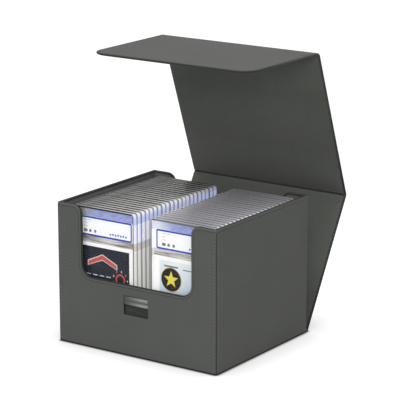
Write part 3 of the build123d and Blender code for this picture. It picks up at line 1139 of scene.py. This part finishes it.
def disc(x, z, radius):
    return arc_points(x, z, radius, 0, 360, disc_steps)[:-1]


def star(x, z, outer, inner, points):
    made = []
    for i in range(2 * points):
        radius = outer if i % 2 == 0 else inner
        angle = math.pi / 2 + math.pi * i / points
        made.append((x + radius * math.cos(angle), z + radius * math.sin(angle)))
    return made


def make_label_print(side, origin):
    """A blue border, a row of dots, three short lines and a row of small marks."""
    low, high = box_mm(side + "_front_slab_label")
    half = (high.x - low.x) / 2
    z_low, z_high = low.z - origin[2], high.z - origin[2]
    label = Print(origin)
    label.add(rectangle(-half, half, z_low, z_high, 1.6), 0,
              hole=rectangle(border - half, half - border, z_low + border_foot, z_high - border_top, 0.8))
    for x in (-27.2, -25.4, -20.0, -13.4):
        label.add(disc(x, z_low + 5.6, 1.75), 1, layer=int(x == -25.4))
    for z, width in ((17.0, 11.0), (13.5, 5.0), (10.1, 5.0)):
        label.add(rectangle(-28.5, -28.5 + width, z_low + z, z_low + z + 0.9), 2)
    for i in range(7):
        x, z = 6 + i * 3.5, z_low + 4.0 + 0.4 * (i % 2)
        label.add(rectangle(x, x + 2.4, z, z + 2.2, 0.5), 3)
    label.finished(side + "_label_print", side, "label_paper", "blue", "grey", "faint", "pale_blue")


def make_navy_card_print(origin):
    """Dark card: a red chevron band with a pale outline, a ring with lozenges, dashes and spots."""
    card = Print(origin)
    for lift, index, layer in ((0, 1, 0), (0.9, 0, 1)):
        low, high = 70 + lift, 80 - lift
        left, right = -24 + lift, 16 - lift
        under = [(left, low), (-4, low + 8), (right, low)]
        card.add(under + [(right, high - 4), (-4, high + 5), (left, high - 4)], index, layer)
    x, z = 20, 60
    card.add(disc(x, z, 6.5), 0, hole=disc(x, z, 4.6))
    for i in range(9):
        angle = math.tau * i / 9
        card.add(star(x + 9.5 * math.cos(angle), z + 9.5 * math.sin(angle), 1.5, 0.8, 2), 2 if i % 2 else 1)
    for i in range(4):
        card.add(rectangle(-26 + i * 9, -20 + i * 9, 60, 61.2), 1)
    for i in range(5):
        card.add(disc(-20 + i * 9, 30 + (i % 2) * 7, 3.2), 0)
    card.finished("left_card_print", "left", "card_stock", "red", "faint", "amber")


def make_pale_card_print(origin):
    """Pale card: a black badge with a yellow star in a gold ring, two lines, warm spots and short bars."""
    card = Print(origin)
    x, z = -17, 72
    for layer, (outline, index) in enumerate(((disc(x, z, 13.4), 2), (disc(x, z, 12.6), 0),
                                              (star(x, z, 9.5, 4.0, 5), 1))):
        card.add(outline, index, layer)
    card.add(rectangle(-26, -8, 85.4, 87.2), 3)
    card.add(rectangle(-2, 30, 84.6, 85.4), 0)
    for x, z, radius in ((16, 58, 7.0), (24, 54, 5.5), (7, 53, 5.0)):
        card.add(disc(x, z, radius), 4)
    for i in range(5):
        card.add(rectangle(-28 + 4 * i, -26 + 4 * i, 20, 34 + 4 * (i % 2)), 3)
    card.finished("right_card_print", "right", "card_stock", "black", "yellow", "gold", "grey", "amber")


def make_slabs():
    rng = random.Random(7)
    for side, make_card_print in zip(SIDES, (make_navy_card_print, make_pale_card_print)):
        origin = make_first_slab(side)
        make_label_print(side, origin)
        make_row(side, rng)
        make_card_print(origin)


# Stage: camera, floor and light. Places of lamps are metres.

camera_azimuth = 34.583
camera_elevation = 14.675
camera_distance = 2277.6
camera_side = 26.88
camera_rise = 142.813
image_px = 416
focal_px = 2045.4
sensor_mm = 36.0
world_level = 0.186
floor_half = 12000
floor_glow = 0.93
floor_shade = 0.3
floor_bounce = 0.75

# Reach and share of the light that is left in the soft shadow round the box and in the crack under it
floor_shadows = ((54.0, 0.66), (4.0, 0.04))

# Lamps as (name, place, size, power)
lamp_target = Vector((0, 0, 0.15))
lamps = (("key", (1.84, -1.54, 1.3), 1.8, 30.0), ("front", (-0.5, -2.35, 1.0), 1.8, 20.5),
         ("top", (0.1, -0.3, 2.6), 1.6, 22.8), ("back", (-0.3, 2.6, 0.5), 0.8, 5.0))


def add_to_scene(name, data, place, rotation):
    made = bpy.data.objects.new(name, data)
    bpy.context.scene.collection.objects.link(made)
    made.location = place
    made.rotation_mode = "QUATERNION"
    made.rotation_quaternion = rotation
    return made


def make_camera():
    a, e = math.radians(camera_azimuth), math.radians(camera_elevation)
    back = Vector((math.sin(a) * math.cos(e), -math.cos(a) * math.cos(e), math.sin(e)))
    right = Vector((math.cos(a), math.sin(a), 0))
    up = back.cross(right)
    data = bpy.data.cameras.new("camera")
    data.sensor_width = sensor_mm
    data.lens = focal_px / image_px * sensor_mm
    data.clip_start, data.clip_end = 0.05, 50
    place = (back * camera_distance + right * camera_side + up * camera_rise) * MM
    rotation = Matrix((right, up, back)).transposed().to_quaternion()
    bpy.context.scene.camera = add_to_scene("camera", data, place, rotation)


def make_world():
    world = bpy.data.worlds.new("studio")
    nodes = Nodes(world)
    background = nodes.tree.nodes["Background"].inputs
    background["Color"].default_value = (1, 1, 1, 1)
    nodes.put(background["Strength"], nodes.ranged(nodes.seen_straight(), 0.0, 1.0, world_level, 1.0))
    bpy.context.scene.world = world


def make_floor():
    """Floor that is white to the camera and darker near the box, and plain pale to all other light."""
    corners = [(x * floor_half, y * floor_half, 0) for x, y in ((-1, -1), (1, -1), (1, 1), (-1, 1))]
    material = bpy.data.materials.new("floor_finish")
    floor = add_mesh("floor", corners, [(0, 1, 2, 3)], [material])
    nodes = Nodes(material)
    nodes.tree.nodes.clear()
    bounce, shade = (nodes.add("ShaderNodeBsdfDiffuse", {"Color": (level, level, level, 1)}).outputs[0]
                     for level in (floor_bounce, floor_shade))
    strength = floor_glow
    for reach, share in floor_shadows:
        nearness = nodes.add("ShaderNodeAmbientOcclusion", {"Distance": reach * MM}, samples=16)
        strength = nodes.times(nodes.ranged(nearness.outputs["AO"], 0.5, 1.0, share, 1.0), strength)
    glow = nodes.add("ShaderNodeEmission", {"Strength": strength}).outputs[0]
    seen = nodes.add("ShaderNodeAddShader", {0: shade, 1: glow}).outputs[0]
    choice = nodes.add("ShaderNodeMixShader", {0: nodes.seen_straight(), 1: bounce, 2: seen}).outputs[0]
    nodes.add("ShaderNodeOutputMaterial", {"Surface": choice})


def make_stage():
    make_camera()
    make_world()
    make_floor()
    for name, place, size, power in lamps:
        data = bpy.data.lights.new(name, "AREA")
        data.size = size
        data.energy = power
        add_to_scene(name, data, place, (lamp_target - Vector(place)).to_track_quat("-Z", "Y"))
    bpy.context.scene.view_settings.view_transform = "Standard"


make_stage()
finish_cad_nodes()
make_case_cover()
make_stitches()
make_lid()
make_slabs()
